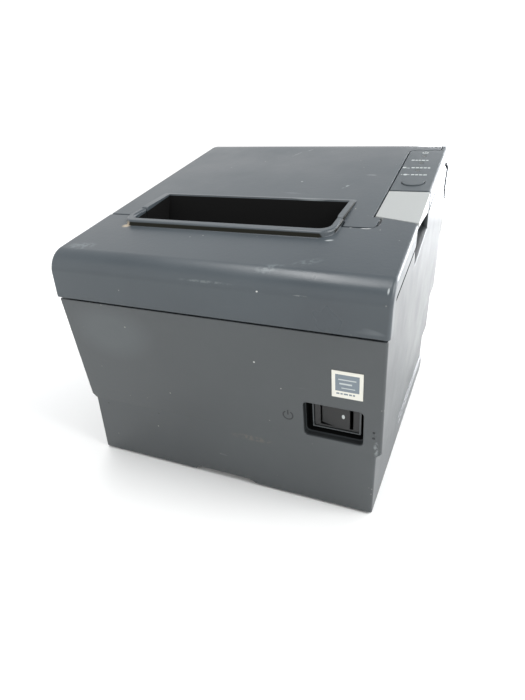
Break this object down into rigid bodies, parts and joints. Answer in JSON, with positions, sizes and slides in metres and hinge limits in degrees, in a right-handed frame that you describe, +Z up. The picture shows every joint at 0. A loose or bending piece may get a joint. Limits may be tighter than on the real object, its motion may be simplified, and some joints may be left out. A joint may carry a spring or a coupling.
{
  "type": "receipt printer",
  "caption": "Desktop thermal receipt printer with drop-in paper roll: hinged roll cover, sliding front cover, release lever, feed button and rocker power switch.",
  "frame": {"origin": "middle of the footprint, on the surface that the feet stand on", "axes": "+Z up, -Y towards the front panel, +X to the right of someone facing the front"},
  "size_m": [0.145, 0.195, 0.148],
  "materials": {
    "case_plastic": "moulded ABS, fine spark texture",
    "cover_plastic": "moulded ABS, fine spark texture",
    "panel_plastic": "moulded ABS, satin",
    "lever_plastic": "moulded ABS, light grey",
    "inner_plastic": "moulded ABS, black",
    "black_plastic": "moulded nylon, semi-gloss",
    "gear_plastic": "moulded acetal",
    "label_stock": "blank film label",
    "lens_plastic": "clear acrylic light guide",
    "foot_rubber": "moulded rubber",
    "platen_rubber": "ground silicone rubber",
    "sheet_steel": "zinc plated sheet",
    "bright_steel": "ground steel",
    "motor_case": "zinc plated can",
    "pinion_brass": "machined brass",
    "heat_sink_metal": "extruded",
    "head_ceramic": "glazed ceramic",
    "board_green": "solder mask",
    "ribbon_film": "flat flexible cable"
  },
  "bodies": {
    "body": {"base_tray": "case_plastic", "feet": "foot_rubber", "case_screws": "bright_steel", "housing": "case_plastic", "label_plate": "label_stock", "switch_body": "black_plastic", "control_panel": "panel_plastic", "led_lenses": "lens_plastic", "panel_board": "board_green", "lever_bracket": "sheet_steel", "lever_pin": "bright_steel", "lever_spring": "bright_steel", "hinge_brackets": "inner_plastic", "hinge_pins": "bright_steel", "cover_rails": "inner_plastic", "mech_frame": "sheet_steel", "roll_bucket": "inner_plastic", "paper_guide": "inner_plastic", "head_shaft": "bright_steel", "head_springs": "bright_steel", "head_ribbon": "ribbon_film", "feed_motor": "motor_case", "idler_axle": "bright_steel", "cutter_frame": "sheet_steel", "blade_guard": "inner_plastic", "cutter_motor": "motor_case", "wheel_axle": "bright_steel", "paper_sensor": "inner_plastic", "near_end_pin": "sheet_steel", "main_board": "board_green", "board_parts": "black_plastic", "interface_plate": "sheet_steel", "power_inlet": "black_plastic", "drawer_jack": "black_plastic", "usb_port": "sheet_steel", "serial_port": "sheet_steel"},
    "roll_lid": {"roll_cover": "cover_plastic", "cover_liner": "inner_plastic", "platen_frame": "sheet_steel", "fixed_blade": "bright_steel", "platen_bushes": "black_plastic"},
    "platen": {"platen_shaft": "bright_steel", "platen_rubber": "platen_rubber", "platen_gear": "gear_plastic"},
    "front_lid": {"front_cover": "cover_plastic"},
    "lever": {"cover_lever": "lever_plastic"},
    "latch": {"latch_shaft": "bright_steel", "latch_hooks": "sheet_steel"},
    "button": {"feed_button": "panel_plastic"},
    "rocker": {"power_rocker": "black_plastic"},
    "head": {"print_head": "head_ceramic", "heat_sink": "heat_sink_metal"},
    "idler": {"idler_gear": "gear_plastic"},
    "pinion": {"motor_pinion": "pinion_brass"},
    "wheel": {"cutter_wheel": "gear_plastic"},
    "knob": {"cutter_pinion": "gear_plastic", "cutter_knob": "gear_plastic"},
    "blade": {"moving_blade": "bright_steel"},
    "roll_feeler": {"near_end_lever": "inner_plastic"}
  },
  "joints": [
    {"name": "roll_cover_open", "type": "hinge", "parent": "body", "child": "roll_lid", "pos_m": [0, 0.0875, 0.12817], "axis": [-1, 0, 0], "range_deg": [0, 95]},
    {"name": "platen_spin", "type": "hinge", "parent": "roll_lid", "child": "platen", "pos_m": [0, -0.03, 0.092], "axis": [1, 0, 0], "continuous": true},
    {"name": "idler_spin", "type": "hinge", "parent": "body", "child": "idler", "pos_m": [0.0445, -0.02461, 0.07108], "axis": [1, 0, 0], "continuous": true},
    {"name": "motor_spin", "type": "hinge", "parent": "body", "child": "pinion", "pos_m": [0.0445, -0.032, 0.056], "axis": [1, 0, 0], "continuous": true},
    {"name": "front_cover_slide", "type": "slide", "parent": "body", "child": "front_lid", "axis": [0, -1, 0], "range_m": [0, 0.018]},
    {"name": "lever_lift", "type": "hinge", "parent": "body", "child": "lever", "pos_m": [0.062, -0.016, 0.12404], "axis": [-1, 0, 0], "range_deg": [0, 15], "stiffness_Nm_per_rad": 0.05, "springref_deg": -17.19},
    {"name": "latch_turn", "type": "hinge", "parent": "body", "child": "latch", "pos_m": [0, -0.05, 0.068], "axis": [1, 0, 0], "range_deg": [0, 9]},
    {"name": "feed_button_press", "type": "slide", "parent": "body", "child": "button", "axis": [0, 0.2756, -0.9613], "range_m": [0, 0.0007], "stiffness_N_per_m": 250, "springref_m": -0.001},
    {"name": "power_switch", "type": "hinge", "parent": "body", "child": "rocker", "pos_m": [0.0526, -0.08071, 0.04646], "axis": [0, -0.225, 0.9744], "range_deg": [0, 20]},
    {"name": "head_lift", "type": "hinge", "parent": "body", "child": "head", "pos_m": [-0.007, -0.03569, 0.07486], "axis": [1, 0, 0], "range_deg": [0, 2], "stiffness_Nm_per_rad": 5, "springref_deg": -2.86},
    {"name": "cutter_wheel_turn", "type": "hinge", "parent": "body", "child": "wheel", "pos_m": [-0.03, -0.06, 0.1014], "axis": [0, 0, 1], "range_deg": [0, 180]},
    {"name": "cutter_knob_turn", "type": "hinge", "parent": "body", "child": "knob", "pos_m": [-0.03, -0.0708, 0.1014], "axis": [0, 0, 1], "range_deg": [-360, 0]},
    {"name": "blade_slide", "type": "slide", "parent": "body", "child": "blade", "axis": [0, 1, 0], "range_m": [0, 0.0065]},
    {"name": "roll_feeler_turn", "type": "hinge", "parent": "body", "child": "roll_feeler", "pos_m": [-0.0545, 0.008, 0.068], "axis": [0, 0, 1], "range_deg": [0, 12], "stiffness_Nm_per_rad": 0.004, "springref_deg": -17.19}
  ],
  "couplings": [
    {"joint": "idler_spin", "follows": "platen_spin", "ratio": -0.8},
    {"joint": "motor_spin", "follows": "platen_spin", "ratio": 2},
    {"joint": "latch_turn", "follows": "lever_lift", "ratio": 0.6},
    {"joint": "cutter_wheel_turn", "follows": "blade_slide", "rad_per_m": 483.3},
    {"joint": "cutter_knob_turn", "follows": "blade_slide", "rad_per_m": -966.6}
  ]
}
